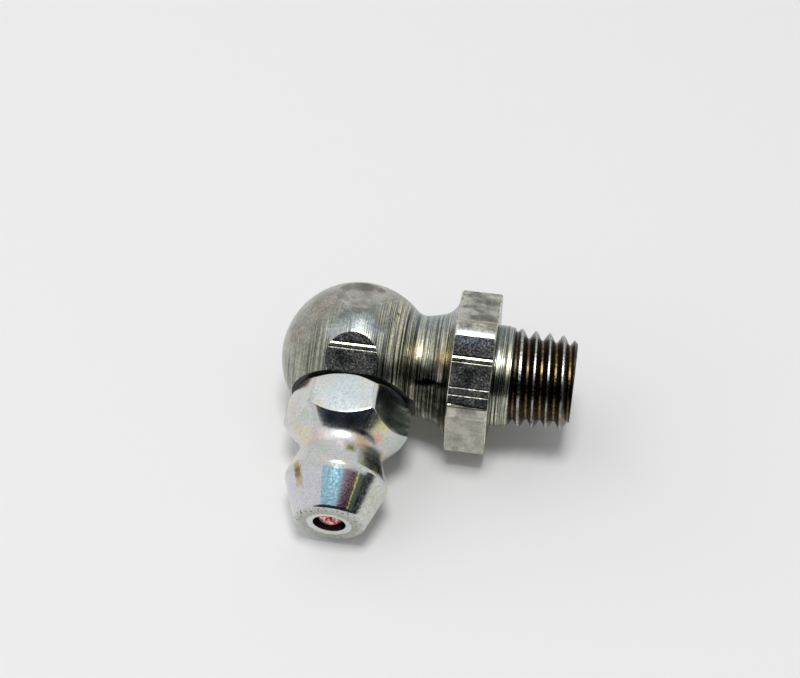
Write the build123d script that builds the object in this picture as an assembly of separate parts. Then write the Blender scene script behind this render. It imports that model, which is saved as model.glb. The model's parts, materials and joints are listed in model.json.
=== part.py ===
from build123d import *
import os
from math import acos, asin, atan2, cos, hypot, radians, sin, sqrt, tan

# Right-angle hydraulic grease nipple, in millimetres.
#
# Four pieces: an elbow turned from hexagon bar, a nipple head pressed into its ball, and inside
# the head a check ball held on its seat by a coil spring.
#
# Each piece is turned about its own X axis, from the centre of the elbow's ball outwards.
# In the fitting the elbow's thread points along +X and the nipple along -Y. The whole fitting is
# then laid on a flat surface in the way it comes to rest: on the ball, the rim of the nipple
# head and one corner of the hexagon flange, with +Z up. The origin is where the flange's
# thread-side face crosses the thread axis.

# ---- elbow body, turned from 3/8 in hexagon bar ----
HEX_ACROSS_FLATS = 9.525
HEX_CORNER_SKIM = 0.2               # taken off each corner of the bar, along the radius
BALL_DIAMETER = 10.1                # a little over the flats, so small facets stay on the ball
PARTING_FLAT_DIAMETER = 1.4         # where the ball was parted from the bar
NECK_DIAMETER = 6.48                # at the foot of the ball
NECK_FLARE = 12.5                   # degrees, widening towards the flange
BALL_NECK_FILLET = 1.0
NECK_FLANGE_FILLET = 1.4
FLANGE_REACH = 6.33                 # ball centre to the flange's near face
FLANGE_THICKNESS = 2.68
FLANGE_CORNER_CHAMFER = 0.12        # measured along the radius
FLANGE_CHAMFER_ANGLE = 30           # degrees, from the face

# ---- threaded shank, 1/4 in - 28 taper thread ----
SHANK_DIAMETER = 6.64               # plain stretch below the flange
PLAIN_LENGTH = 0.75
THREAD_STEP = 0.055                 # how far the first crest lies below the plain stretch
THREAD_LENGTH = 3.99
THREAD_HALF_TAPER = 2.5             # degrees
END_CHAMFER = 0.5
END_CHAMFER_ANGLE = 50              # degrees, from the end face
THREAD_BORE_DIAMETER = 2.5
BORE_MOUTH_CHAMFER = 0.2

# ---- seat of the nipple in the ball ----
SPOTFACE_REACH = 3.18               # ball centre to the spot-faced seat
SPOTFACE_DIAMETER = 8.6
CROSS_BORE_DIAMETER = 4.6
CROSS_BORE_DEPTH = 4.4              # from the seat to the full-diameter end
DRILL_POINT_ANGLE = 118             # degrees, included

# ---- nipple head, outside ----
NIPPLE_ACROSS_FLATS = 7.144         # 9/32 in
NIPPLE_CORNER_SKIM = 0.06           # the drawn bar's rounded corners, along the radius
NIPPLE_CLOCKING = 3                 # degrees, the angle at which it happened to be pressed in
NIPPLE_HEX_LENGTH = 2.85            # along the middle of a flat
NIPPLE_HEX_EDGE = 0.05              # how far the chamfer circles lie inside the flats
NIPPLE_CHAMFER_ANGLE = 45           # degrees
NIPPLE_NECK_DIAMETER = 5.36
NIPPLE_NECK_RADIUS = 1.0
HEAD_DIAMETER = 6.62
HEAD_EDGE_RADIUS = 0.5
HEAD_FLANK_ANGLE = 20               # degrees, the flank behind the rim to the axis
HEAD_FRONT_ANGLE = 21               # degrees, the front cone to the axis
HEAD_LENGTH = 2.88                  # widest place to the tip's flat ring
TIP_EDGE_RADIUS = 0.4
PRESS_SHANK_LENGTH = 1.78           # pressed into the ball, below the seat
PRESS_SHANK_CHAMFER = 0.3

# ---- check ball, its seat and its spring ----
CHECK_BALL_DIAMETER = 2.38          # 3/32 in
SEAT_OVERLAP = 0.15                 # the inlet is this much smaller than the ball, all round
SEAT_GAP = 0.01
BALL_TO_BORE = 0.31                 # clearance round the ball
INLET_LENGTH = 0.66                 # straight land between the mouth's bevel and the ball's seat
MOUTH_BEVEL_WIDTH = 0.33
MOUTH_BEVEL_DEPTH = 0.03
ROLLED_LIP_WIDTH = 0.6              # the shank's end is rolled in to hold the spring
ROLLED_LIP_LENGTH = 0.35
WIRE_DIAMETER = 0.3
SPRING_TO_BORE = 0.2                # clearance round the coil
SPRING_END_GAP = 0.02               # coil to ball and coil to lip
SPRING_TURNS = 5                    # open turns between the two closed end turns
CLOSED_COIL_GAP = 0.01

# How far cutting tools run past the material.
TOOL_OVERRUN = 1.0


def around(centre, radius, angle):
    """Point on an arc; the angle is counted in degrees from +Y towards +X."""
    return (centre[0] + radius * sin(radians(angle)), centre[1] + radius * cos(radians(angle)))


def slope(angle):
    return tan(radians(angle))


# ---- places that follow from the sizes, measured from the ball's centre ----
ball_radius = BALL_DIAMETER / 2
corner_radius = HEX_ACROSS_FLATS / sqrt(3) - HEX_CORNER_SKIM
flange_chamfer_depth = FLANGE_CORNER_CHAMFER * slope(FLANGE_CHAMFER_ANGLE)
flange_far = FLANGE_REACH + FLANGE_THICKNESS
thread_start = flange_far + PLAIN_LENGTH
thread_end = thread_start + THREAD_LENGTH
shank_end = thread_end + END_CHAMFER

# The nipple's neck is a hollow that runs out of the hexagon's front chamfer.
hex_edge = NIPPLE_ACROSS_FLATS / 2 - NIPPLE_HEX_EDGE
hex_front = SPOTFACE_REACH + NIPPLE_HEX_LENGTH + NIPPLE_HEX_EDGE / slope(NIPPLE_CHAMFER_ANGLE)
neck_axis = NIPPLE_NECK_DIAMETER / 2 + NIPPLE_NECK_RADIUS
chamfer_foot = around((0, neck_axis), NIPPLE_NECK_RADIUS, 180 + NIPPLE_CHAMFER_ANGLE)
neck_reach = (
    hex_front + (hex_edge - chamfer_foot[1]) / slope(NIPPLE_CHAMFER_ANGLE) - chamfer_foot[0]
)

# The flank behind the rim touches both the neck's hollow and the rim's rounded edge.
rim_axis = HEAD_DIAMETER / 2 - HEAD_EDGE_RADIUS
both_radii = NIPPLE_NECK_RADIUS + HEAD_EDGE_RADIUS
flank_rise = rim_axis - neck_axis + both_radii * cos(radians(HEAD_FLANK_ANGLE))
head_reach = (
    neck_reach
    + both_radii * sin(radians(HEAD_FLANK_ANGLE))
    + flank_rise / slope(HEAD_FLANK_ANGLE)
)
tip_reach = head_reach + HEAD_LENGTH
press_shank_end = SPOTFACE_REACH - PRESS_SHANK_LENGTH

# Inside the head, from the tip inwards: bevel, inlet, ball, spring and rolled lip.
check_ball_radius = CHECK_BALL_DIAMETER / 2
inlet_radius = check_ball_radius - SEAT_OVERLAP
spring_bore_radius = check_ball_radius + BALL_TO_BORE
seat_edge = tip_reach - MOUTH_BEVEL_DEPTH - INLET_LENGTH
check_ball_reach = seat_edge - sqrt(check_ball_radius**2 - inlet_radius**2) - SEAT_GAP
lip_face = press_shank_end + ROLLED_LIP_LENGTH
coil_radius = spring_bore_radius - SPRING_TO_BORE - WIRE_DIAMETER / 2
ball_to_coil = check_ball_radius + WIRE_DIAMETER / 2 + SPRING_END_GAP
coil_front = check_ball_reach - sqrt(ball_to_coil**2 - coil_radius**2)
coil_back = lip_face + WIRE_DIAMETER / 2 + SPRING_END_GAP

# Turns a piece that was modelled along +X so that it points along the nipple axis.
NIPPLE_SIDE = Location((0, 0, 0), (0, 0, -90))


def turned(outline):
    """Solid of revolution about X from a closed outline in the XY plane."""
    return revolve(make_face(outline), Axis.X)


def hexagon_bar(across_flats, start, end, flat_angle):
    """Hexagon bar along X; flat_angle turns the middle of one flat from +Y towards +Z."""
    section = RegularPolygon(across_flats / 2, 6, major_radius=False, rotation=flat_angle + 30)
    return extrude(Plane.YZ.offset(start) * section, end - start)


def bar_along_x(diameter, start, end):
    """Round bar along X, also used as a drill."""
    return extrude(Plane.YZ.offset(start) * Circle(diameter / 2), end - start)


def elbow_section():
    """Half section of the elbow: ball, neck, flange and shank."""
    flat_radius = PARTING_FLAT_DIAMETER / 2
    foot_radius = NECK_DIAMETER / 2
    ball_start = (-sqrt(ball_radius**2 - flat_radius**2), flat_radius)
    ball_foot = (sqrt(ball_radius**2 - foot_radius**2), foot_radius)
    neck_root = (FLANGE_REACH, foot_radius + (FLANGE_REACH - ball_foot[0]) * slope(NECK_FLARE))
    face_radius = corner_radius - FLANGE_CORNER_CHAMFER
    crest_start = SHANK_DIAMETER / 2 - THREAD_STEP
    crest_end = crest_start - THREAD_LENGTH * slope(THREAD_HALF_TAPER)

    outline = Line((ball_start[0], 0), ball_start)
    outline += ThreePointArc(ball_start, (0, ball_radius), ball_foot)
    outline += Polyline(
        ball_foot,
        neck_root,
        (FLANGE_REACH, face_radius),
        (FLANGE_REACH + flange_chamfer_depth, corner_radius),
        (flange_far - flange_chamfer_depth, corner_radius),
        (flange_far, face_radius),
        (flange_far, SHANK_DIAMETER / 2),
        (thread_start, SHANK_DIAMETER / 2),
        (thread_start, crest_start),
        (thread_end, crest_end),
        (shank_end, crest_end - END_CHAMFER / slope(END_CHAMFER_ANGLE)),
        (shank_end, 0),
        (ball_start[0], 0),
    )
    section = make_face(outline)
    foot = section.vertices().sort_by_distance((*ball_foot, 0))[0]
    section = fillet(foot, BALL_NECK_FILLET)

    # The fillet to the flange may take up to the whole face below the corner chamfer.
    face_height = face_radius - neck_root[1]
    widest = 0.98 * face_height / tan(radians(90 - NECK_FLARE) / 2)
    root = section.vertices().sort_by_distance((*neck_root, 0))[0]
    return fillet(root, min(NECK_FLANGE_FILLET, widest))


def elbow_body():
    # The bar's flats stay where the turned form is wider than they are: flange and ball.
    body = revolve(elbow_section(), Axis.X)
    body &= hexagon_bar(HEX_ACROSS_FLATS, -ball_radius, shank_end, 0)

    # The grease way along the thread, with a broken edge at its mouth.
    body -= bar_along_x(THREAD_BORE_DIAMETER, 0, shank_end + TOOL_OVERRUN)
    mouth = Cone(
        THREAD_BORE_DIAMETER / 2,
        THREAD_BORE_DIAMETER / 2 + BORE_MOUTH_CHAMFER,
        BORE_MOUTH_CHAMFER,
        align=(Align.CENTER, Align.CENTER, Align.MAX),
    )
    body -= Plane.YZ.offset(shank_end) * mouth

    # The seat and the blind bore for the nipple, cut square to the thread.
    bore_radius = CROSS_BORE_DIAMETER / 2
    bore_end = SPOTFACE_REACH - CROSS_BORE_DEPTH
    drill_tip = (bore_end - bore_radius / slope(DRILL_POINT_ANGLE / 2), 0)
    drill = turned(
        Polyline(
            drill_tip,
            (bore_end, bore_radius),
            (SPOTFACE_REACH + TOOL_OVERRUN, bore_radius),
            (SPOTFACE_REACH + TOOL_OVERRUN, 0),
            drill_tip,
        )
    )
    cutter = bar_along_x(SPOTFACE_DIAMETER, SPOTFACE_REACH, ball_radius + TOOL_OVERRUN)
    body -= NIPPLE_SIDE * cutter
    body -= NIPPLE_SIDE * drill
    return body


def nipple_head():
    # Behind: pressed shank, seat face and the hexagon between its two chamfers. The round stock
    # is a little narrower than the hexagon's corners, so each corner keeps a narrow land.
    shank_radius = CROSS_BORE_DIAMETER / 2
    stock_radius = NIPPLE_ACROSS_FLATS / sqrt(3) - NIPPLE_CORNER_SKIM
    chamfer_length = (stock_radius - hex_edge) / slope(NIPPLE_CHAMFER_ANGLE)
    neck_start = (neck_reach + chamfer_foot[0], chamfer_foot[1])
    outline = Polyline(
        (press_shank_end, spring_bore_radius - ROLLED_LIP_WIDTH),
        (press_shank_end, shank_radius - PRESS_SHANK_CHAMFER),
        (press_shank_end + PRESS_SHANK_CHAMFER, shank_radius),
        (SPOTFACE_REACH, shank_radius),
        (SPOTFACE_REACH, hex_edge),
        (SPOTFACE_REACH + chamfer_length, stock_radius),
        (hex_front - chamfer_length, stock_radius),
        neck_start,
    )

    # In front: hollow neck, flank, rounded rim, cone and rounded tip, each tangent to the next.
    neck = (neck_reach, neck_axis)
    rim = (head_reach, rim_axis)
    flank_start = around(neck, NIPPLE_NECK_RADIUS, 180 - HEAD_FLANK_ANGLE)
    flank_end = around(rim, HEAD_EDGE_RADIUS, -HEAD_FLANK_ANGLE)
    cone_start = around(rim, HEAD_EDGE_RADIUS, HEAD_FRONT_ANGLE)
    cone_at_tip = cone_start[1] - (tip_reach - TIP_EDGE_RADIUS - cone_start[0]) * slope(
        HEAD_FRONT_ANGLE
    )
    tip = (
        tip_reach - TIP_EDGE_RADIUS,
        cone_at_tip - TIP_EDGE_RADIUS / cos(radians(HEAD_FRONT_ANGLE)),
    )
    cone_end = around(tip, TIP_EDGE_RADIUS, HEAD_FRONT_ANGLE)
    tip_end = around(tip, TIP_EDGE_RADIUS, 90)
    outline += ThreePointArc(neck_start, around(neck, NIPPLE_NECK_RADIUS, 180), flank_start)
    outline += Line(flank_start, flank_end)
    outline += ThreePointArc(flank_end, around(rim, HEAD_EDGE_RADIUS, 0), cone_start)
    outline += Line(cone_start, cone_end)
    outline += ThreePointArc(
        cone_end, around(tip, TIP_EDGE_RADIUS, (HEAD_FRONT_ANGLE + 90) / 2), tip_end
    )

    # Inside: bevelled mouth, inlet, drilled seat, spring bore and rolled lip.
    seat_depth = (spring_bore_radius - inlet_radius) / slope(DRILL_POINT_ANGLE / 2)
    outline += Polyline(
        tip_end,
        (tip_reach, inlet_radius + MOUTH_BEVEL_WIDTH),
        (tip_reach - MOUTH_BEVEL_DEPTH, inlet_radius),
        (seat_edge, inlet_radius),
        (seat_edge - seat_depth, spring_bore_radius),
        (lip_face, spring_bore_radius),
        (lip_face, spring_bore_radius - ROLLED_LIP_WIDTH),
        (press_shank_end, spring_bore_radius - ROLLED_LIP_WIDTH),
    )
    head = turned(outline)
    head &= hexagon_bar(
        NIPPLE_ACROSS_FLATS, press_shank_end, tip_reach + TOOL_OVERRUN, 90 + NIPPLE_CLOCKING
    )
    return NIPPLE_SIDE * head


def check_ball():
    return NIPPLE_SIDE * (Pos(check_ball_reach, 0, 0) * Sphere(check_ball_radius))


def ball_spring():
    """Coil between the rolled lip and the check ball, with one closed turn at each end."""
    closed_pitch = WIRE_DIAMETER + CLOSED_COIL_GAP
    open_length = coil_front - coil_back - 2 * closed_pitch
    closed_turn = Helix(closed_pitch, closed_pitch, coil_radius)
    open_turns = Helix(open_length / SPRING_TURNS, open_length, coil_radius)
    path = Wire(
        [
            *closed_turn.edges(),
            *(Pos(0, 0, closed_pitch) * open_turns).edges(),
            *(Pos(0, 0, closed_pitch + open_length) * closed_turn).edges(),
        ]
    )
    wire_section = Plane(origin=path @ 0, z_dir=path % 0) * Circle(WIRE_DIAMETER / 2)
    coil = sweep(wire_section, path=path, transition=Transition.TRANSFORMED)
    return NIPPLE_SIDE * (Pos(coil_back, 0, 0) * (Rot(0, 90, 0) * coil))


def laid_down():
    """The turn and shift that lay the fitting on a flat surface.

    The nipple axis dips until the rim of its head is as low as the ball, and the thread axis
    rises until the lowest corner of the flange is level with both.
    """
    dip = asin((ball_radius - HEAD_EDGE_RADIUS) / hypot(head_reach, rim_axis))
    dip -= atan2(rim_axis, head_reach)

    # The flange's lowest point: where a corner's skimmed round meets the flat on the nipple's
    # side, at the inner end of the corner chamfer.
    half_round = radians(30) - acos(HEX_ACROSS_FLATS / 2 / corner_radius)
    corner_reach = FLANGE_REACH + flange_chamfer_depth
    corner_side = corner_radius * sin(half_round)
    corner_drop = corner_radius * cos(half_round)
    level = (ball_radius - sin(dip) * corner_side) / cos(dip)
    rise = atan2(corner_drop, corner_reach) - asin(level / hypot(corner_reach, corner_drop))

    up = Vector(cos(dip) * sin(rise), sin(dip), cos(dip) * cos(rise))
    level_thread = Vector(1, 0, 0) - up * up.X
    seat = Plane(origin=(flange_far, 0, 0), x_dir=level_thread, z_dir=up)
    return seat.location.inverse()


PIECES = {
    "elbow_body": elbow_body,
    "nipple_head": nipple_head,
    "check_ball": check_ball,
    "ball_spring": ball_spring,
}

os.makedirs("parts", exist_ok=True)
resting_place = laid_down()
for name, build_piece in PIECES.items():
    export_step(resting_place * build_piece(), f"parts/{name}.step")
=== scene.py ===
# %% [markdown]
# # A right-angle grease nipple
#
# The fitting has four pieces: an elbow turned from hexagon bar, a bright nipple head pressed
# into the elbow's ball, and inside the head a check ball on its spring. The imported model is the
# fixed frame. It says where each axis lies, so the elbow, the head and the spring are drawn
# here on those axes and never have to be fitted afterwards. The check ball stays as packed.

import json
from math import acos, asin, ceil, cos, degrees, pi, radians, sin, sqrt, tan

import bpy
from mathutils import Matrix, Vector


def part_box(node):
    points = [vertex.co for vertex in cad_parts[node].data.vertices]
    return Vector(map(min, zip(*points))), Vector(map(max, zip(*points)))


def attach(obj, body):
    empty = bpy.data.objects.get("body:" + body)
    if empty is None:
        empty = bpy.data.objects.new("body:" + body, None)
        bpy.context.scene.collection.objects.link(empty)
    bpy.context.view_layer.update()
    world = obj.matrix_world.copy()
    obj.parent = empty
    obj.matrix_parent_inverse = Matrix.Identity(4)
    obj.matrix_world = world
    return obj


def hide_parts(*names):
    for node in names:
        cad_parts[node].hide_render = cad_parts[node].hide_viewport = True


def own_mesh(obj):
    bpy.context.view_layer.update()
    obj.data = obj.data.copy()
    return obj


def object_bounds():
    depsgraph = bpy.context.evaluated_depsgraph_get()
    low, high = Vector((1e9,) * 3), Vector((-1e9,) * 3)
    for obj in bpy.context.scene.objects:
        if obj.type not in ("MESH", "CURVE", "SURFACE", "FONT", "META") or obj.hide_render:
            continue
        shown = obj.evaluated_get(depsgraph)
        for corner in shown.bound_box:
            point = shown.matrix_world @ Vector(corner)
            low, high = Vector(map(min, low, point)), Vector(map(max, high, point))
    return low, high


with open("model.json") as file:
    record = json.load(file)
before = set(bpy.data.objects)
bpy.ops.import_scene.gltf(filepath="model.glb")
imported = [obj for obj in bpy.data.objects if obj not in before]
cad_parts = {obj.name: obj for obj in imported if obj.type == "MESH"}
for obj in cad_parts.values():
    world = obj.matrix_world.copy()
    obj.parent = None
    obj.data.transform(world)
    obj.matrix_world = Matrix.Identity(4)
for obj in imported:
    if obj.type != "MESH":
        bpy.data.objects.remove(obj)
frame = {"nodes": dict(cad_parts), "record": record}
cad_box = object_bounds()
print("packed model, mm:", [[round(v * 1000, 2) for v in corner] for corner in cad_box])

# %% [markdown]
# ## Camera
#
# The camera stands in front of the fitting and looks down on it at a little under 50 degrees.
# A long lens at about 140 mm keeps the perspective mild. The camera leans a few degrees, so
# that the thread runs slightly downhill. It is placed by a position, a point on the floor to
# look at and that lean, because each of the three can then be changed by itself.

# %% Place the camera
MM = 0.001
CAMERA_PLACE = Vector((0.25, -85.24, 98.81)) * MM
CAMERA_AIM = Vector((-6.88, 6.65, -5.33)) * MM
CAMERA_LEAN = radians(4.78)
LENS = 89.2                         # mm, on the usual 36 mm sensor

camera_data = bpy.data.cameras.new("camera")
camera_data.lens = LENS
camera_data.clip_start = 1 * MM
camera = bpy.data.objects.new("camera", camera_data)
bpy.context.scene.collection.objects.link(camera)
towards = CAMERA_AIM - CAMERA_PLACE
aimed = towards.to_track_quat("-Z", "Y").to_matrix().to_4x4() @ Matrix.Rotation(CAMERA_LEAN, 4, "Z")
camera.matrix_world = Matrix.Translation(CAMERA_PLACE) @ aimed
bpy.context.scene.camera = camera
print("camera is", round(towards.length / MM), "mm from the floor point it looks at")

# %% [markdown]
# ## The two axes
#
# Everything on this fitting was made on a lathe, so everything has an axis. The elbow turns
# about the thread axis and the nipple head about its own, and the two cross at right angles in
# the middle of the ball. Both are read from the frame's mounts. Pieces are modelled in
# millimetres about the X axis, from the ball's centre outwards, and one matrix each then lays
# them in the frame.

# %% Read the axes from the frame
mounts = {mount["name"]: mount for mount in frame["record"]["mounts"]}
thread_axis = Vector(mounts["thread_root"]["axis"]).normalized()
nipple_axis = Vector(mounts["coupler_head"]["axis"]).normalized()
side_axis = thread_axis.cross(-nipple_axis)

# Sizes of the elbow, in mm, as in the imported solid.
FLANGE_REACH = 6.33                 # ball centre to the flange's near face
FLANGE_THICKNESS = 2.68
flange_far = FLANGE_REACH + FLANGE_THICKNESS
ball_centre = Vector(mounts["thread_root"]["pos_m"]) - thread_axis * flange_far * MM


def laid_along(axis_x, axis_y, axis_z):
    """Matrix that takes millimetres about the X axis to the frame."""
    columns = Matrix((axis_x, axis_y, axis_z)).transposed().to_4x4()
    return Matrix.Translation(ball_centre) @ columns @ Matrix.Scale(MM, 4)


elbow_place = laid_along(thread_axis, -nipple_axis, side_axis)
nipple_place = laid_along(nipple_axis, thread_axis, side_axis)
print("angle between the axes:", round(degrees(thread_axis.angle(nipple_axis)), 2))

# %% [markdown]
# ## Turning a shape
#
# A lathe turns an outline about an axis, and so does the Spin operator. A plane is merged into
# one vertex, the vertex is extruded from point to point along the outline as a pen would draw
# it, and the line is spun all the way round. Round stretches of the outline come from one
# formula. Its angles are counted from the outward direction towards the free end, which makes
# tangent arcs easy: where two stretches touch, they share the same angle.

# %% Draw an outline
ARC_STEP = 3.0                      # degrees between the points of an arc


def point_at(centre, radius, angle):
    return (centre[0] + radius * sin(radians(angle)), centre[1] + radius * cos(radians(angle)))


def arc(centre, radius, start, end, step=ARC_STEP):
    """Points along an arc, both ends included, about every step degrees."""
    count = max(2, round(abs(end - start) / step))
    return [point_at(centre, radius, start + (end - start) * i / count) for i in range(count + 1)]


print("a quarter circle is drawn with", len(arc((0, 0), 1, 0, 90)), "points")

# %% Spin an outline
AROUND = 256                        # steps in a full turn
MERGE_WITHIN = 0.0005               # mm


def select_only(*pieces):
    """Selects these pieces and no others. The last one becomes the active one."""
    bpy.ops.object.select_all(action="DESELECT")
    for piece in pieces:
        piece.select_set(True)
        bpy.context.view_layer.objects.active = piece


def turned(name, outline):
    """A solid of revolution about X from (x, radius) points, in millimetres."""
    select_only()
    bpy.ops.mesh.primitive_plane_add(size=1)
    piece = bpy.context.object
    piece.name = name
    bpy.ops.object.mode_set(mode="EDIT")
    bpy.ops.mesh.select_all(action="SELECT")
    bpy.ops.mesh.merge(type="CENTER")
    bpy.ops.transform.translate(value=(*outline[0], 0))
    for here, there in zip(outline, outline[1:]):
        stroke = (there[0] - here[0], there[1] - here[1], 0)
        bpy.ops.mesh.extrude_region_move(TRANSFORM_OT_translate={"value": stroke})
    bpy.ops.mesh.select_all(action="SELECT")
    bpy.ops.mesh.spin(steps=AROUND, angle=2 * pi, center=(0, 0, 0), axis=(1, 0, 0))
    bpy.ops.mesh.select_all(action="SELECT")
    bpy.ops.mesh.remove_doubles(threshold=MERGE_WITHIN)
    bpy.ops.mesh.normals_make_consistent(inside=False)
    bpy.ops.object.mode_set(mode="OBJECT")
    print(name, "turned:", len(piece.data.polygons), "faces")
    return piece


print("outlines are spun in", AROUND, "steps")

# %% [markdown]
# ## The elbow's outline
#
# The elbow is turned in one go from 3/8 inch hexagon bar: a ball, a short neck that flares a
# little, a band of the bar left standing as the wrench hexagon, and the shank for the thread.
# The two hollows, at the foot of the ball and at the root of the flange, are arcs that touch
# what they join, so the light runs round them without a break.

# %% Sizes of the elbow
HEX_ACROSS_FLATS = 9.525            # mm, as are all the sizes of the pieces below
HEX_CORNER_SKIM = 0.2
BALL_DIAMETER = 10.1
PARTING_FLAT_DIAMETER = 1.4
NECK_DIAMETER = 6.48
NECK_FLARE = 12.5                   # degrees
BALL_NECK_FILLET = 1.0
NECK_FLANGE_FILLET = 1.4
FLANGE_CORNER_CHAMFER = 0.12
FLANGE_CHAMFER_ANGLE = 30           # degrees
SHANK_DIAMETER = 6.64
PLAIN_LENGTH = 0.75
THREAD_STEP = 0.055
THREAD_LENGTH = 3.99
THREAD_HALF_TAPER = 2.5             # degrees
END_CHAMFER = 0.5
END_CHAMFER_ANGLE = 50              # degrees
print("bar of", HEX_ACROSS_FLATS, "mm across its flats")

# %% Neck and shank
ball_radius = BALL_DIAMETER / 2
neck_radius = NECK_DIAMETER / 2
corner_radius = HEX_ACROSS_FLATS / sqrt(3) - HEX_CORNER_SKIM
face_radius = corner_radius - FLANGE_CORNER_CHAMFER
chamfer_depth = FLANGE_CORNER_CHAMFER * tan(radians(FLANGE_CHAMFER_ANGLE))
thread_start = flange_far + PLAIN_LENGTH
thread_end = thread_start + THREAD_LENGTH
shank_end = thread_end + END_CHAMFER
flare = radians(NECK_FLARE)
ball_foot = sqrt(ball_radius**2 - neck_radius**2)


def neck_at(x):
    """Radius of the flared neck, which meets the ball where the two outlines cross."""
    return neck_radius + (x - ball_foot) * tan(flare)


def crest_at(x):
    """Radius of the tapered shank's outside."""
    return SHANK_DIAMETER / 2 - THREAD_STEP - (x - thread_start) * tan(radians(THREAD_HALF_TAPER))


print("shank ends", round(shank_end, 2), "mm from the ball's centre")

# %% Outline of the elbow
# The hollow at the ball's foot touches the ball from outside and the neck from above.
above_neck = BALL_NECK_FILLET + neck_at(0) * cos(flare)
foot_angle = degrees(acos(above_neck / (ball_radius + BALL_NECK_FILLET)) - flare)
foot_centre = point_at((0, 0), ball_radius + BALL_NECK_FILLET, foot_angle)
root_x = FLANGE_REACH - NECK_FLANGE_FILLET
root_centre = (root_x, neck_at(root_x) + NECK_FLANGE_FILLET / cos(flare))
parting_angle = degrees(asin(PARTING_FLAT_DIAMETER / 2 / ball_radius)) - 90

elbow_outline = [(-ball_radius * cos(radians(90 + parting_angle)), 0)]
elbow_outline += arc((0, 0), ball_radius, parting_angle, foot_angle, step=2.0)
elbow_outline += arc(foot_centre, BALL_NECK_FILLET, foot_angle + 180, 180 - NECK_FLARE)
elbow_outline += arc(root_centre, NECK_FLANGE_FILLET, 180 - NECK_FLARE, 90)
elbow_outline += [
    (FLANGE_REACH, face_radius),
    (FLANGE_REACH + chamfer_depth, corner_radius),
    (flange_far - chamfer_depth, corner_radius),
    (flange_far, face_radius),
    (flange_far, SHANK_DIAMETER / 2),
    (thread_start, SHANK_DIAMETER / 2),
    (thread_start + THREAD_STEP, crest_at(thread_start)),
    (thread_end, crest_at(thread_end)),
    (shank_end, crest_at(thread_end) - END_CHAMFER / tan(radians(END_CHAMFER_ANGLE))),
    (shank_end, 0),
]
elbow = turned("elbow", elbow_outline)

# %% [markdown]
# ## The flats of the bar
#
# The bar was a hexagon before it was turned, so its flats remain wherever the turned shape is
# wider than they are: on the flange, and as six small round facets on the ball. Six cuts of the
# Bisect operator, each filled, leave exactly that. The same cuts make the nipple's hexagon.

# %% Cut a hexagon's flats
MERGE_AT_FLATS = 0.004              # mm, takes up the slivers that a cut leaves at its rim


def hexagon_normals(first_angle):
    """Outward directions of six flats; angles are counted about X, from Y towards Z."""
    angles = [radians(first_angle + 60 * side) for side in range(6)]
    return [Vector((0, cos(angle), sin(angle))) for angle in angles]


def cut_flats(piece, across_flats, first_angle):
    select_only(piece)
    bpy.ops.object.mode_set(mode="EDIT")
    for outwards in hexagon_normals(first_angle):
        bpy.ops.mesh.select_all(action="SELECT")
        bpy.ops.mesh.bisect(
            plane_co=outwards * across_flats / 2, plane_no=outwards, use_fill=True, clear_outer=True
        )
    bpy.ops.mesh.select_all(action="SELECT")
    bpy.ops.mesh.remove_doubles(threshold=MERGE_AT_FLATS)
    bpy.ops.object.mode_set(mode="OBJECT")
    print(piece.name, "with its flats:", len(piece.data.polygons), "faces")


cut_flats(elbow, HEX_ACROSS_FLATS, first_angle=0)

# %% [markdown]
# ## Broken edges
#
# No turned edge is perfectly sharp. A few hundredths of a millimetre of rounding catch the
# light as the thin bright lines round the flange and the facets, so the sharp edges get a small
# bevel. It comes before the drilling, while the mesh still has clean rows of faces.

# %% Break the sharp edges
EDGE_BREAK = 0.06                   # mm
SHARP_EDGE = 24                     # degrees, the least angle of an edge that is broken


def apply_modifier(piece, kind, **settings):
    """Adds a modifier with its settings and applies it."""
    select_only(piece)
    modifier = piece.modifiers.new(kind.lower(), kind)
    for name, value in settings.items():
        setattr(modifier, name, value)
    bpy.ops.object.modifier_apply(modifier=modifier.name)


def break_edges(piece):
    apply_modifier(
        piece, "BEVEL", width=EDGE_BREAK, segments=2, limit_method="ANGLE",
        angle_limit=radians(SHARP_EDGE), use_clamp_overlap=False,
    )
    print(piece.name, "edges broken by", EDGE_BREAK, "mm:", len(piece.data.polygons), "faces")


break_edges(elbow)

# %% [markdown]
# ## Drilling and spot-facing
#
# The nipple needs a flat seat on the ball and a blind bore under it, and the grease way runs
# up through the shank to meet that bore. The tools are turned as solids of their own and
# taken away with the Boolean modifier, as the machine does it. The spot-facing cutter is wider
# than the nipple's hexagon, which leaves the dark step round it.

# %% Drills and cutters
THREAD_BORE_DIAMETER = 2.5
BORE_MOUTH_CHAMFER = 0.2
SPOTFACE_REACH = 3.18
SPOTFACE_DIAMETER = 8.6
CROSS_BORE_DIAMETER = 4.6
CROSS_BORE_DEPTH = 4.4
DRILL_POINT_ANGLE = 118             # degrees, included
OVERRUN = 1.0                       # how far a tool runs past the material


def cut_away(piece, cutter):
    """Takes the cutter out of the piece and removes the cutter."""
    apply_modifier(piece, "BOOLEAN", operation="DIFFERENCE", solver="EXACT", object=cutter)
    bpy.data.objects.remove(cutter)
    print(piece.name, "cut:", len(piece.data.polygons), "faces")


def pointed_drill(name, start, full_end, radius):
    """A twist drill's shape, from its open end to its point, along X."""
    point = full_end - radius / tan(radians(DRILL_POINT_ANGLE / 2))
    return turned(name, [(point, 0), (full_end, radius), (start, radius), (start, 0)])


print("drills are pointed to", DRILL_POINT_ANGLE, "degrees")

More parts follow.
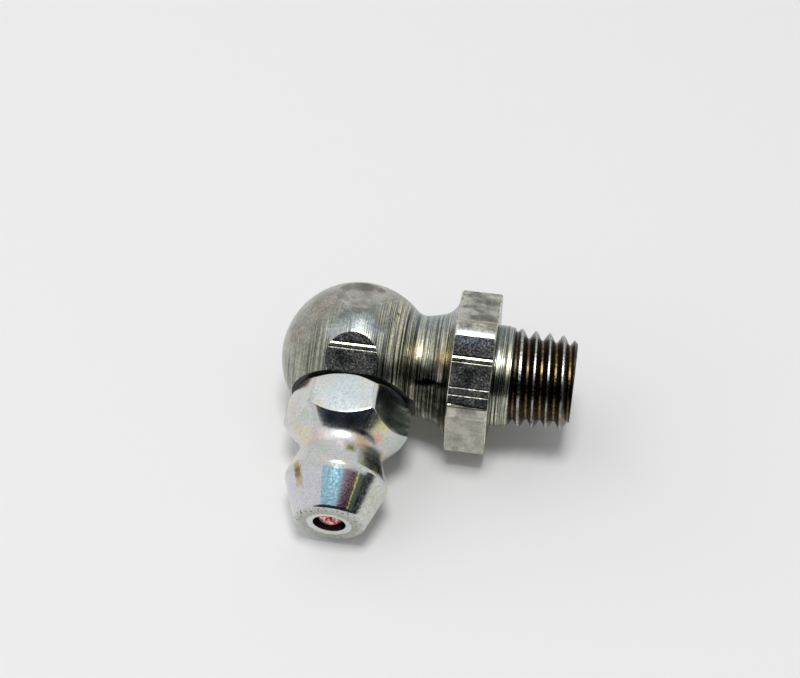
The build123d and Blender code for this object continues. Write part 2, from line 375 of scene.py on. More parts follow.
# %% Drill the elbow
seat_cutter = turned(
    "seat_cutter",
    [
        (SPOTFACE_REACH, 0),
        (SPOTFACE_REACH, SPOTFACE_DIAMETER / 2),
        (ball_radius + OVERRUN, SPOTFACE_DIAMETER / 2),
        (ball_radius + OVERRUN, 0),
    ],
)
cross_drill = pointed_drill(
    "cross_drill",
    SPOTFACE_REACH + OVERRUN,
    SPOTFACE_REACH - CROSS_BORE_DEPTH,
    CROSS_BORE_DIAMETER / 2,
)
to_nipple_side = Matrix.Rotation(radians(-90), 4, "Z")
for cutter in (seat_cutter, cross_drill):
    cutter.data.transform(to_nipple_side)
    cut_away(elbow, cutter)

bore_radius = THREAD_BORE_DIAMETER / 2
mouth_radius = bore_radius + BORE_MOUTH_CHAMFER
thread_drill = turned(
    "thread_drill",
    [
        (0, 0),
        (0, bore_radius),
        (shank_end - BORE_MOUTH_CHAMFER, bore_radius),
        (shank_end, mouth_radius),
        (shank_end + OVERRUN, mouth_radius + OVERRUN),
        (shank_end + OVERRUN, 0),
    ],
)
cut_away(elbow, thread_drill)

# %% [markdown]
# ## The thread
#
# The thread is 1/4 inch - 28, right-hand, on a slight taper. A die cuts it into the blank, so
# it is made the same way here: the Screw modifier sweeps the V-shaped section of the groove
# along the helix, the vertices are then moved in to follow the taper and out where the die runs
# off near the flange, and the result is cut from the shank. That gives true sharp crests and a
# groove that grows shallow and narrow over its first turn, which a bump could not.

# %% Sizes of the thread
PITCH = 25.4 / 28
GROOVE_DEPTH = 0.55
ROOT_WIDTH = 0.12
CREST_WIDTH = 0.1
FULL_GROOVE = 10.93                 # mm from the ball's centre, where the groove is full deep
RUN_OUT_TURNS = 1.35
RUN_OUT_STRETCH = 0.2               # mm, how the lead opens up over the run-out
RUN_OUT_CURVE = 1.3                 # power by which the groove grows shallow
GROOVE_OVERRUN = 0.35               # how far the cutter stands above the crests
GROOVE_TURNS = 7
GROOVE_STEPS = 192                  # in a turn


def groove_section():
    """Corners of the groove's section, from the root outwards past the blank."""
    half_root = ROOT_WIDTH / 2
    half_crest = (PITCH - CREST_WIDTH) / 2
    half_top = half_crest + GROOVE_OVERRUN * (half_crest - half_root) / GROOVE_DEPTH
    top = crest_at(FULL_GROOVE) + GROOVE_OVERRUN
    root = crest_at(FULL_GROOVE) - GROOVE_DEPTH
    return [(-half_top, top), (-half_root, root), (half_root, root), (half_top, top)]


print("section of the groove:", [(round(x, 2), round(y, 2)) for x, y in groove_section()])

# %% Cut the thread
def follow_the_die(cutter, section_size, lead_in):
    """Moves each section of the helix in with the taper, or out where the die runs off."""
    for index, vertex in enumerate(cutter.data.vertices):
        turns = index // section_size / GROOVE_STEPS - lead_in
        run_out = max(0, -turns)
        moved_out = GROOVE_DEPTH * (run_out / RUN_OUT_TURNS) ** RUN_OUT_CURVE
        moved_out -= turns * PITCH * tan(radians(THREAD_HALF_TAPER))
        outwards = Vector((0, vertex.co.y, vertex.co.z)).normalized()
        vertex.co += outwards * moved_out
        vertex.co.x += RUN_OUT_STRETCH * run_out**2


def groove_cutter():
    """The helical solid that the die removes."""
    section = groove_section()
    lead_in = ceil(RUN_OUT_TURNS)
    select_only()
    bpy.ops.mesh.primitive_circle_add(vertices=len(section), fill_type="NOTHING")
    cutter = bpy.context.object
    cutter.name = "groove_cutter"
    for vertex, (x, radius) in zip(cutter.data.vertices, section):
        vertex.co = (FULL_GROOVE - lead_in * PITCH + x, radius, 0)
    apply_modifier(
        cutter, "SCREW", axis="X", screw_offset=PITCH, iterations=GROOVE_TURNS,
        steps=GROOVE_STEPS, render_steps=GROOVE_STEPS, use_merge_vertices=False,
    )
    follow_the_die(cutter, len(section), lead_in)
    bpy.ops.object.mode_set(mode="EDIT")
    bpy.ops.mesh.select_all(action="SELECT")
    bpy.ops.mesh.fill_holes(sides=len(section))
    bpy.ops.mesh.normals_make_consistent(inside=False)
    bpy.ops.object.mode_set(mode="OBJECT")
    return cutter


cut_away(elbow, groove_cutter())

# %% [markdown]
# ## The nipple head's outline
#
# The head is turned from 9/32 inch hexagon bar, zinc plated, and pressed into the ball. From
# its seat outwards it has the hexagon between two chamfers, a hollow neck, a flank that rises
# to the rim that the coupler's jaws grip, the front cone, and a rounded tip round the inlet.
# Hollow, flank, rim and cone touch each other, so their angles are shared and only the neck's
# and the rim's centres have to be worked out.

# %% Sizes of the nipple head
NIPPLE_ACROSS_FLATS = 7.144
NIPPLE_CORNER_SKIM = 0.06
NIPPLE_CLOCKING = 3                 # degrees
NIPPLE_HEX_LENGTH = 2.85
NIPPLE_HEX_EDGE = 0.05
NIPPLE_CHAMFER_ANGLE = 45           # degrees
NIPPLE_NECK_DIAMETER = 5.36
NIPPLE_NECK_RADIUS = 1.0
HEAD_DIAMETER = 6.62
HEAD_EDGE_RADIUS = 0.5
HEAD_FLANK_ANGLE = 20               # degrees
HEAD_FRONT_ANGLE = 21               # degrees
HEAD_LENGTH = 2.88
TIP_EDGE_RADIUS = 0.4
PRESS_SHANK_LENGTH = 1.78
PRESS_SHANK_CHAMFER = 0.3
CHECK_BALL_DIAMETER = 2.38
SEAT_OVERLAP = 0.15
BALL_TO_BORE = 0.31
INLET_LENGTH = 0.66
MOUTH_BEVEL_WIDTH = 0.33
MOUTH_BEVEL_DEPTH = 0.03
ROLLED_LIP_WIDTH = 0.6
ROLLED_LIP_LENGTH = 0.35
print("nipple head pressed", PRESS_SHANK_LENGTH, "mm deep")

# %% Outside of the nipple head
hex_edge = NIPPLE_ACROSS_FLATS / 2 - NIPPLE_HEX_EDGE
chamfer_slope = tan(radians(NIPPLE_CHAMFER_ANGLE))
stock_radius = NIPPLE_ACROSS_FLATS / sqrt(3) - NIPPLE_CORNER_SKIM
chamfer_length = (stock_radius - hex_edge) / chamfer_slope
hex_front = SPOTFACE_REACH + NIPPLE_HEX_LENGTH + NIPPLE_HEX_EDGE / chamfer_slope
press_end = SPOTFACE_REACH - PRESS_SHANK_LENGTH
press_radius = CROSS_BORE_DIAMETER / 2


def nipple_profile():
    """The outside, from the seat to the tip, as (x, radius) points."""
    neck_axis = NIPPLE_NECK_DIAMETER / 2 + NIPPLE_NECK_RADIUS
    foot = point_at((0, neck_axis), NIPPLE_NECK_RADIUS, 180 + NIPPLE_CHAMFER_ANGLE)
    neck_x = hex_front + (hex_edge - foot[1]) / chamfer_slope - foot[0]
    rim_axis = HEAD_DIAMETER / 2 - HEAD_EDGE_RADIUS
    both = NIPPLE_NECK_RADIUS + HEAD_EDGE_RADIUS
    flank = radians(HEAD_FLANK_ANGLE)
    flank_rise = rim_axis - neck_axis + both * cos(flank)
    rim_x = neck_x + both * sin(flank) + flank_rise / tan(flank)

    tip_x = rim_x + HEAD_LENGTH - TIP_EDGE_RADIUS
    cone_start = point_at((rim_x, rim_axis), HEAD_EDGE_RADIUS, HEAD_FRONT_ANGLE)
    cone_at_tip = cone_start[1] - (tip_x - cone_start[0]) * tan(radians(HEAD_FRONT_ANGLE))
    tip_axis = cone_at_tip - TIP_EDGE_RADIUS / cos(radians(HEAD_FRONT_ANGLE))

    points = [
        (SPOTFACE_REACH, press_radius),
        (SPOTFACE_REACH, hex_edge),
        (SPOTFACE_REACH + chamfer_length, stock_radius),
        (hex_front - chamfer_length, stock_radius),
    ]
    neck = (neck_x, neck_axis)
    points += arc(neck, NIPPLE_NECK_RADIUS, 180 + NIPPLE_CHAMFER_ANGLE, 180 - HEAD_FLANK_ANGLE)
    points += arc((rim_x, rim_axis), HEAD_EDGE_RADIUS, -HEAD_FLANK_ANGLE, HEAD_FRONT_ANGLE)
    points += arc((tip_x, tip_axis), TIP_EDGE_RADIUS, HEAD_FRONT_ANGLE, 90, step=6)
    return points


nipple_outline = nipple_profile()
tip_reach = nipple_outline[-1][0]
mouth = tip_reach - MOUTH_BEVEL_DEPTH
print("nipple head reaches", round(tip_reach, 2), "mm from the ball's centre")

# %% Bore and turn the nipple head
check_ball_radius = CHECK_BALL_DIAMETER / 2
head_inlet = check_ball_radius - SEAT_OVERLAP
head_bore = check_ball_radius + BALL_TO_BORE
lip = head_bore - ROLLED_LIP_WIDTH
lip_front = press_end + ROLLED_LIP_LENGTH
ball_seat = mouth - INLET_LENGTH
seat_depth = (head_bore - head_inlet) / tan(radians(DRILL_POINT_ANGLE / 2))

nipple_outline += [
    (tip_reach, head_inlet + MOUTH_BEVEL_WIDTH),
    (mouth, head_inlet),
    (ball_seat, head_inlet),
    (ball_seat - seat_depth, head_bore),
    (lip_front, head_bore),
    (lip_front, lip),
    (press_end, lip),
    (press_end, press_radius - PRESS_SHANK_CHAMFER),
    (press_end + PRESS_SHANK_CHAMFER, press_radius),
    (SPOTFACE_REACH, press_radius),
]
nipple = turned("nipple", nipple_outline)
cut_flats(nipple, NIPPLE_ACROSS_FLATS, first_angle=90 + NIPPLE_CLOCKING)
break_edges(nipple)

# %% [markdown]
# ## Which face has which finish
#
# One piece of steel can show several finishes. On the elbow the tool left its rings, the flats
# are still the drawn skin of the bar, the thread is dark from the die and from painted shade, and
# the seat and the bores are black with old grease and painted shade. Each finish gets a material
# slot of its own. Faces are sorted into the slots by where they lie, which is easiest now, while
# the pieces still stand on their own axes and their sizes can be compared with the drawing's.

# %% Sort the faces
TURNED, DRAWN, THREAD, GREASE_AND_SHADE, RUBBED_AND_SHEEN = range(5)
NEARLY = 0.01                       # mm
ALONG, SQUARE = 0.9999, 0.99        # least cosines for lying in a flat and for facing an axis
LEVEL = 0.1                         # largest cosine for lying along an axis
UNDER_SKIN = 0.8                    # mm, deeper than any outside face of the ball
EDGE_BAND = 0.1                     # mm of the flange's faces that count as its edge
elbow_normals = hexagon_normals(0)


def off_axis(middle):
    return Vector((0, middle.y, middle.z)).length


def elbow_finish(middle, normal):
    """The finish of a face of the elbow, from its middle and its normal."""
    radius = off_axis(middle)
    on_seat = normal.y < -SQUARE and abs(middle.y + SPOTFACE_REACH) < NEARLY
    in_cross_bore = middle.length < ball_radius - UNDER_SKIN and middle.x < press_radius
    in_long_bore = middle.x > 0 and radius < bore_radius + NEARLY
    if on_seat or in_cross_bore or in_long_bore:
        return GREASE_AND_SHADE
    for outwards in elbow_normals:
        at_flat = abs(outwards.dot(middle) - HEX_ACROSS_FLATS / 2) < NEARLY
        if at_flat and outwards.dot(normal) > ALONG:
            return DRAWN
    on_flange = FLANGE_REACH < middle.x < flange_far
    if on_flange and radius > corner_radius - NEARLY and abs(normal.x) < LEVEL:
        return DRAWN
    if on_flange and radius > HEX_ACROSS_FLATS / 2 - EDGE_BAND:
        return RUBBED_AND_SHEEN
    if middle.x > thread_start + PITCH / 2 and normal.x < SQUARE:
        return THREAD
    return TURNED


def nipple_finish(middle, normal):
    """The finish of a face of the nipple: 0 for plated outside, 1 for the inside, black with grease
    and painted shade.
    """
    return int(off_axis(middle) < head_bore + NEARLY and middle.x < mouth - NEARLY)


def sort_faces(piece, finish_of):
    finishes = [finish_of(face.center, face.normal) for face in piece.data.polygons]
    piece.data.polygons.foreach_set("material_index", finishes)
    print(piece.name, "faces of each finish:", [finishes.count(i) for i in range(5)])


sort_faces(elbow, elbow_finish)
sort_faces(nipple, nipple_finish)

# %% [markdown]
# ## Laying the pieces in the frame
#
# The pieces are now moved from their own axes to their places in the frame, in metres, with the
# place in the mesh and the object left at the origin. Edges under 14 degrees are shaded smooth,
# so the turned surfaces are round and the flats stay flat up to their broken edges. Each new
# piece takes the place of the imported solid of the same shape, which is hidden, and hangs on
# the fitting's body.

# %% Lay, shade and hide the imported solid
def finish_piece(piece, place, node, smooth_under=14):
    """Lays a piece in the frame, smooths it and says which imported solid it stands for."""
    piece.data.transform(place)
    select_only(piece)
    bpy.ops.object.shade_smooth_by_angle(angle=radians(smooth_under))
    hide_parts(node)
    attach(piece, "fitting")
    low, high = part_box(node)
    print(piece.name, "stands for", node, "of mm", [round(v / MM, 2) for v in high - low])


finish_piece(elbow, elbow_place, "elbow_body")
finish_piece(nipple, nipple_place, "nipple_head")

# %% [markdown]
# ## The spring behind the check ball
#
# The real spring is round wire wound on a mandrel: a closed turn at each end, so that it seats
# squarely, and five open turns between them. A round tube along the same helix is that wire. It
# is the one piece that changes shape when the fitting works: as a grease gun pushes the ball in,
# the coils close up towards the rolled lip. Here it is laid at rest as a new piece with a mesh of
# its own.

# %% Wind the spring
WIRE_DIAMETER = 0.3
SPRING_TO_BORE = 0.2
SPRING_END_GAP = 0.02
SEAT_GAP = 0.01
SPRING_TURNS = 5                    # open turns between the two closed end turns
CLOSED_COIL_GAP = 0.01
STEPS_PER_TURN = 40

check_ball_reach = ball_seat - sqrt(check_ball_radius**2 - head_inlet**2) - SEAT_GAP
coil_radius = head_bore - SPRING_TO_BORE - WIRE_DIAMETER / 2
ball_to_coil = check_ball_radius + WIRE_DIAMETER / 2 + SPRING_END_GAP
coil_front = check_ball_reach - sqrt(ball_to_coil**2 - coil_radius**2)
coil_back = lip_front + WIRE_DIAMETER / 2 + SPRING_END_GAP
closed_pitch = WIRE_DIAMETER + CLOSED_COIL_GAP
open_pitch = (coil_front - coil_back - 2 * closed_pitch) / SPRING_TURNS

wire_line = [(coil_back, 0.0, -coil_radius)]
for pitch in [closed_pitch] + [open_pitch] * SPRING_TURNS + [closed_pitch]:
    turn_start = wire_line[-1][0]
    for step in range(1, STEPS_PER_TURN + 1):
        share = step / STEPS_PER_TURN
        round_coil = 2 * pi * share
        wire_line.append((
            turn_start + pitch * share,
            coil_radius * sin(round_coil),
            -coil_radius * cos(round_coil),
        ))
print("wire line:", len(wire_line), "points")

# %% Draw the wire as a round tube
curve = bpy.data.curves.new("wire_line", "CURVE")
curve.dimensions = "3D"
curve.bevel_depth = WIRE_DIAMETER / 2
curve.bevel_resolution = 4
curve.use_fill_caps = True
spline = curve.splines.new("POLY")
spline.points.add(len(wire_line) - 1)
spline.points.foreach_set("co", [value for point in wire_line for value in (*point, 1.0)])
spring = bpy.data.objects.new("spring", curve)
bpy.context.collection.objects.link(spring)
select_only(spring)
bpy.ops.object.convert(target="MESH")
print("spring of", round(coil_front - coil_back + WIRE_DIAMETER, 2), "mm")

# %% Lay the spring and give it a mesh of its own
finish_piece(spring, nipple_place, "ball_spring", smooth_under=60)
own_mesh(spring)

# %% [markdown]
# ## Colours and nodes
#
# Colours are picked as sRGB hex values, the way a paint chart gives them, and shaders work with
# linear light, so one function turns the first into the second. A second small function adds a
# shader node with its settings and links, and every node below is made with it. Two more start
# a material and fill the sockets of its shader.

# %% Helpers for materials
def linear(hex_colour):
    """Linear RGBA of an sRGB hex colour."""
    parts = [int(hex_colour[i : i + 2], 16) / 255 for i in (0, 2, 4)]
    return (*[c / 12.92 if c <= 0.04045 else ((c + 0.055) / 1.055) ** 2.4 for c in parts], 1)


def put(tree, socket, source):
    """Links a node or one of its outputs to a socket, or writes a value into the socket."""
    if isinstance(source, bpy.types.Node):
        source = next(output for output in source.outputs if output.enabled)
    if isinstance(source, bpy.types.NodeSocket):
        tree.links.new(source, socket)
    else:
        socket.default_value = source


def add(tree, kind, *sources, stops=None, link=None, **settings):
    """Adds a node. A source is a value, a node or one of its outputs. The sources fill the sockets
    in order (a MapRange has value, from min, from max, to min, to max), and link gives sockets by
    name or number (a Mix has its two colours on 6 and 7). stops are a colour ramp's places and
    colours, and the rest are the node's own settings."""
    node = tree.nodes.new("ShaderNode" + kind)
    for name, value in settings.items():
        setattr(node, name, value)
    for socket, source in {**dict(enumerate(sources)), **(link or {})}.items():
        put(tree, node.inputs[socket], source)
    if stops:
        ramp = node.color_ramp.elements
        while len(ramp) < len(stops):
            ramp.new(1)
        for element, (place, colour) in zip(ramp, stops):
            element.position = place
            element.color = linear(colour) if isinstance(colour, str) else (*[colour] * 3, 1)
    return node


def plug(tree, shader, **sources):
    """Fills the shader's sockets; Base_Color stands for Base Color."""
    for socket, source in sources.items():
        put(tree, shader.inputs[socket.replace("_", " ")], source)


def new_material(name, **sources):
    """A material with its tree and its Principled shader, whose sockets are filled."""
    material = bpy.data.materials.new(name)
    material.use_nodes = True
    shader = material.node_tree.nodes["Principled BSDF"]
    plug(material.node_tree, shader, **sources)
    return material, material.node_tree, shader


print("D2D2CC is", [round(c, 3) for c in linear("D2D2CC")])

# %% [markdown]
# ## Floor and room
#
# The fitting lies on plain pale paper in a pale room. The room is the world's colour: the
# metal and the camera see it as bright as it is written, while it gives the paper only part of
# its light, so that the lamp overhead can still draw a shadow.

# %% Lay the paper
PAPER = "F1F1F1"
PAPER_SIZE = 4                      # m, so that its edge is out of sight

select_only()
bpy.ops.mesh.primitive_plane_add(size=PAPER_SIZE, location=(0, 0, cad_box[0][2]))
floor = bpy.context.object
floor.name = "floor"
paper = new_material("white_paper", Base_Color=linear(PAPER), Roughness=0.9)[0]
floor.data.materials.append(paper)
print("paper lies at", round(cad_box[0][2] / MM, 3), "mm")

# %% Light the room
ROOM = "E7E7E8"
ROOM_LIGHT = 0.44                   # share of the room's brightness that lights the paper

studio = bpy.data.worlds.new("studio")
studio.use_nodes = True
bpy.context.scene.world = studio
tree = studio.node_tree
rays = add(tree, "LightPath")
seen = add(
    tree, "Math", rays.outputs["Is Camera Ray"], rays.outputs["Is Glossy Ray"], operation="MAXIMUM"
)
strength = add(tree, "MapRange", seen, 0.0, 1.0, ROOM_LIGHT, 1.0)
plug(tree, tree.nodes["Background"], Color=linear(ROOM), Strength=strength)
print("room lights the paper at", ROOM_LIGHT)

# %% [markdown]
# ## Lamps and dark cards
#
# Polished metal shows the room, so a shape reads only where bright and dark meet in it. One
# round lamp nearly overhead, a little to the front, gives the highlights and draws the shadow
# under the thread. A small dim one behind it is seen in the metal alone. A large dim panel on
# the left only fills the shadows on that side of the paper, and the metal doesn't see it.
#
# The side that the camera stands on is dark, as it is in a tent that is open towards the
# camera, and so is part of the right-hand side. Dark cards stand for both. They are there for
# reflections alone and cast no shadow.

# %% Hang the lamps
LAMP_DISTANCE = 0.6


def direction(side, height):
    """Unit vector from two angles: side from the front (-Y) towards +X, height from level."""
    side, height = radians(side), radians(height)
    return Vector((sin(side) * cos(height), -cos(side) * cos(height), sin(height)))


def facing_origin(place):
    turn = (-place).to_track_quat("-Z", "Y").to_matrix().to_4x4()
    return Matrix.Translation(place) @ turn


def round_lamp(name, side, height, half_angle, radiance):
    """A round lamp that looks as bright as radiance and as wide as half_angle from the origin."""
    radius = LAMP_DISTANCE * tan(radians(half_angle))
    lamp_data = bpy.data.lights.new(name, "AREA")
    lamp_data.shape = "DISK"
    lamp_data.size = 2 * radius
    lamp_data.energy = radiance * pi * pi * radius**2
    lamp = bpy.data.objects.new(name, lamp_data)
    lamp.visible_camera = False
    bpy.context.scene.collection.objects.link(lamp)
    lamp.matrix_world = facing_origin(direction(side, height) * LAMP_DISTANCE)
    print(name, "power:", round(lamp_data.energy, 2), "W")
    return lamp


round_lamp("overhead_lamp", side=-8, height=80, half_angle=8.5, radiance=21.3)
rear_lamp = round_lamp("rear_lamp", side=-168, height=80, half_angle=8, radiance=2.2)
rear_lamp.visible_diffuse = False
left_panel = round_lamp("left_panel", side=-85, height=35, half_angle=38, radiance=0.65)
left_panel.visible_glossy = False

# %% Set the cards
CARD_DISTANCE = 0.5

velvet = new_material(
    "dark_velvet", Base_Color=linear("272D39"), Roughness=1.0, Specular_IOR_Level=0.0
)[0]


def dark_card(name, side, height, half_angle):
    """A round card that only reflections see."""
    select_only()
    radius = CARD_DISTANCE * tan(radians(half_angle))
    bpy.ops.mesh.primitive_circle_add(vertices=64, radius=radius, fill_type="NGON")
    card = bpy.context.object
    card.name = name
    card.matrix_world = facing_origin(direction(side, height) * CARD_DISTANCE)
    card.data.materials.append(velvet)
    card.visible_camera = False
    card.visible_diffuse = False
    card.visible_shadow = False
    print(name, "radius:", round(radius, 2), "m")


dark_card("camera_side_card_left", side=-9, height=21, half_angle=34)
dark_card("camera_side_card_right", side=28, height=19, half_angle=34)
dark_card("right_side_card", side=76, height=4, half_angle=17)

# %% [markdown]
# ## Places and marks
#
# Patterns are sized in millimetres, so every material first turns the object's coordinates
# into millimetres about the axis that its piece was turned on. Stains and rubbed places are
# listed as marks: where the middle lies in mm on those axes, how far it reaches, its colour and
# how strong it is. A noise is added to the distance, so that no mark has a drawn edge.

# %% Helpers for places and marks
def own_millimetres(tree, place):
    """Object coordinates as millimetres about a piece's own axes, x along the turning axis."""
    spot, turn, size = place.decompose()
    return add(
        tree, "Mapping", vector_type="TEXTURE",
        link={
            "Vector": add(tree, "TexCoord").outputs["Object"],
            "Location": spot, "Rotation": turn.to_euler(), "Scale": size,
        },
    )


def new_surface(name, place, metallic=1.0):
    """A material, its tree and shader, and millimetres about its piece's own axes."""
    material, tree, shader = new_material(name, Metallic=metallic)
    return material, tree, shader, own_millimetres(tree, place)


def radius_at(tree, mm):
    """Distance from the turning axis."""
    across = add(tree, "VectorMath", mm, (0, 1, 1), operation="MULTIPLY")
    return add(tree, "VectorMath", across, operation="LENGTH")


def lay_marks(tree, mm, colour, noise, fray, marks):
    """Mixes soft marks into a colour. fray says how far the noise moves their edges."""
    ragged = add(tree, "Math", noise, fray, -fray / 2, operation="MULTIPLY_ADD")
    for where, reach, mark_colour, strength in marks:
        away = add(tree, "VectorMath", mm, where, operation="DISTANCE")
        frayed = add(tree, "Math", ragged, reach, away, operation="MULTIPLY_ADD")
        amount = add(
            tree, "MapRange", frayed, 1.3 * reach, 0.2 * reach, 0.0, strength,
            interpolation_type="SMOOTHSTEP",
        )
        colour = add(
            tree, "Mix", data_type="RGBA", link={0: amount, 6: colour, 7: linear(mark_colour)}
        )
    return colour


print("places are in mm about", [round(v / MM, 2) for v in ball_centre], "mm")

# %% Helpers for shading
def speckled(tree, colour, noise, spread, low, high):
    """Scales a colour by low where the noise starts to high where it ends; spread is its range."""
    shade = add(tree, "MapRange", noise, spread[0], spread[1], low, high)
    return add(tree, "VectorMath", operation="SCALE", link={0: colour, "Scale": shade})


def between(tree, value, start, full, fading, end):
    """1 from full to fading and 0 outside start and end, with a ramp on each side."""
    up = add(tree, "MapRange", value, start, full)
    down = add(tree, "MapRange", value, end, fading)
    return add(tree, "Math", up, down, operation="MULTIPLY")


def finish_surface(tree, shader, colour, roughness, relief, depth):
    """Fills the shader from a colour, a roughness and a relief that is depth mm high."""
    bump = add(tree, "Bump", link={"Height": relief, "Strength": 1.0, "Distance": depth * MM})
    plug(tree, shader, Base_Color=colour, Roughness=roughness, Normal=bump)
    print("shader nodes:", len(tree.nodes))


print("a relief of 1 mm is", MM, "m")

# %% [markdown]
# ## The turned surface of the elbow
#
# This is free-cutting steel, turned at a quick feed and barrel plated, and the plating has gone
# a dull olive grey. The tool left rings about a tenth of a millimetre apart. They run round the
# thread axis, and each one throws the light along the axis, so a highlight breaks up into cream
# and dark lines. A noise squeezed along the axis and stretched round it gives such rings, and
# it drives the colour, the roughness and the bump together.

# %% Rings of the turned steel
RINGS_PER_MM = 12.0
BANDS_PER_MM = 5.0
ROUND_STRETCH = 0.014               # how slowly a ring changes round the axis

turned_steel, tree, shader, mm = new_surface("plated_turned_steel", elbow_place)
x, y, z = add(tree, "SeparateXYZ", mm).outputs

# Rings are evenly spaced along the outline, so on the ball x becomes a length of arc.
on_ball = add(tree, "Math", x, ball_foot, operation="MINIMUM")
arc_sine = add(tree, "Math", on_ball, ball_radius + NEARLY, operation="DIVIDE")
arc_angle = add(tree, "Math", arc_sine, operation="ARCSINE")
beyond = add(tree, "Math", x, on_ball, operation="SUBTRACT")
along = add(tree, "Math", arc_angle, ball_radius, beyond, operation="MULTIPLY_ADD")
unrolled = add(tree, "CombineXYZ", along, y, z)
round_axis = add(
    tree, "Mapping", link={"Vector": unrolled, "Scale": (1, ROUND_STRETCH, ROUND_STRETCH)}
)
rings = add(tree, "TexNoise", link={"Vector": round_axis, "Scale": RINGS_PER_MM, "Detail": 3.0})
bands = add(tree, "TexNoise", link={"Vector": round_axis, "Scale": BANDS_PER_MM, "Detail": 2.0})
pattern = add(tree, "Mix", link={0: 0.25, 2: rings, 3: bands})
print("rings every", round(1 / RINGS_PER_MM, 2), "mm")

# %% [markdown]
# The rings are deepest where the ball runs into the neck, where the tool chattered, and shallow
# on the rest of the ball. A colour ramp along the axis gives how deep they are. Their colour
# goes from the brown of old oil in the grooves to the cream of rubbed plating on the crests.

# %% Depth and colour of the rings
RAMP_SPAN = (-6.0, 10.0)            # mm along the axis that the ramp covers

place_along = add(tree, "MapRange", x, *RAMP_SPAN)
deepness = add(
    tree, "ValToRGB", place_along,
    stops=[(0.05, 0.24), (0.44, 0.36), (0.52, 1.0), (0.58, 0.95), (0.63, 0.6), (0.78, 0.7)],
)
centred = add(tree, "Math", pattern, 0.5, operation="SUBTRACT")
deep = add(tree, "Math", deepness, 3.0, operation="MULTIPLY")
height = add(tree, "Math", centred, deep, 0.5, operation="MULTIPLY_ADD")
ring_colour = add(
    tree, "ValToRGB", height,
    stops=[(0.2, "171713"), (0.37, "54564F"), (0.5, "929588"), (0.6, "B8B9A5"), (0.76, "F0E8C0")],
)
print("rings deepest at the ball's foot, x", round(ball_foot, 2), "mm")

# %% [markdown]
# On the back and the top of the ball the plating lies thicker and hides the rings under cloudy
# sage, beige and brown. The neck's upper side is painted a cooler grey than its front, a painted
# reflection of the room behind. On the front of the ball a pale blue-white patch round the
# highlight is partly rubbed plating and partly a painted highlight, and the darker rim round it is
# a painted dark reflection. A few small pits are dark. On the neck a golden patch is a painted
# highlight, and the dark grey and the nearly black band on its lower side are painted dark
# reflection and shade.

# %% Rubbed places, pits and painted light
TURNED_MARKS = [
    # where, reach, colour, strength
    # Painted highlight round the ball's highlight, partly rubbed plating.
    ((0.2, 0.35, 5.0), 1.7, "97A0A4", 0.8),
    ((-1.3, -1.0, 4.75), 0.8, "C4CACE", 0.65),
    ((1.5, -0.6, 4.8), 0.7, "9AA2A6", 0.6),
    # Painted dark reflection: the darker rim round that highlight.
    ((-1.08, 0.16, 4.93), 0.3, "565E58", 0.65),
    ((-0.74, 0.49, 4.97), 0.3, "6A7270", 0.5),
    ((-0.2, 0.78, 4.98), 0.4, "60665F", 0.55),
    ((0.31, 0.86, 4.97), 0.4, "60645C", 0.55),
    ((0.82, 0.85, 4.9), 0.45, "686C62", 0.55),
    ((1.35, 0.45, 4.8), 0.55, "6C6E66", 0.55),
    ((1.6, -0.15, 4.75), 0.5, "686860", 0.5),
    ((-2.3, 1.2, 4.3), 1.3, "A89E94", 0.6),
    ((-3.9, -0.6, 3.1), 0.9, "8A7E70", 0.55),
    ((0.2, 1.9, 4.7), 1.3, "ADA8A0", 0.6),
    ((1.41, 2.15, 4.26), 0.25, "4A4540", 0.8),
    ((2.53, 1.19, 4.21), 0.2, "45413A", 0.8),
    ((-5.1, -0.2, 0.6), 0.9, "5E5A4E", 0.6),
    # Painted shade on the lower side of the neck.
    ((3.9, -3.1, 1.5), 1.5, "2A2824", 0.65),
    ((5.6, -3.3, 1.1), 1.6, "282622", 0.55),
    # Painted golden highlight on the neck.
    ((5.9, -1.1, 3.25), 0.8, "CDB078", 0.5),
    ((4.1, -0.9, 3.2), 0.6, "D2C294", 0.4),
    # Painted dark reflection and shade: the dark grey band and the nearly black band on the lower
    # side of the neck.
    ((2.9, -1.9, 3.2), 0.6, "35302A", 0.6),
    ((3.9, -2.0, 2.75), 0.8, "3C3E38", 0.7),
    ((4.9, -2.0, 2.85), 0.8, "3C3E38", 0.7),
    ((5.8, -2.0, 3.15), 0.8, "3C3A36", 0.7),
    ((4.4, -2.5, 2.25), 0.3, "060506", 1.0),
    ((4.7, -2.52, 2.33), 0.3, "060506", 1.0),
    ((5.0, -2.55, 2.38), 0.32, "060506", 1.0),
    ((5.3, -2.56, 2.47), 0.34, "060506", 1.0),
    ((5.6, -2.64, 2.58), 0.3, "060506", 1.0),
    ((5.85, -2.74, 2.73), 0.26, "060506", 1.0),
    ((6.1, -2.88, 2.97), 0.24, "060506", 1.0),
]

print("marks on the turned steel:", len(TURNED_MARKS))

# %% Thick plating on the back of the ball
clouds, blotches, specks = [
    add(tree, "TexNoise", link={"Vector": mm, "Scale": per_mm, "Detail": detail})
    for per_mm, detail in ((0.5, 5.0), (1.7, 3.0), (7.0, 1.0))
]
cloud_colour = add(
    tree, "ValToRGB", clouds,
    stops=[
        (0.32, "7E766A"), (0.42, "97958A"), (0.49, "A0A49A"), (0.56, "ACA69E"), (0.68, "A8AD9D"),
    ],
)
back = add(tree, "Math", x, -0.5, y, operation="MULTIPLY_ADD")
frayed_back = add(tree, "Math", clouds, 3.0, back, operation="MULTIPLY_ADD")
plated_over = add(tree, "MapRange", frayed_back, 0.6, 3.6, interpolation_type="SMOOTHSTEP")
colour = add(
    tree, "Mix", data_type="RGBA", link={0: plated_over, 6: ring_colour, 7: cloud_colour}
)
print("colours of thick plating:", len(cloud_colour.color_ramp.elements))

# %% Painted cool reflection on the neck's upper side, and the marks
COOL_REFLECTION_FROM = 2.8                     # mm along the axis, and in full from 1 mm further on

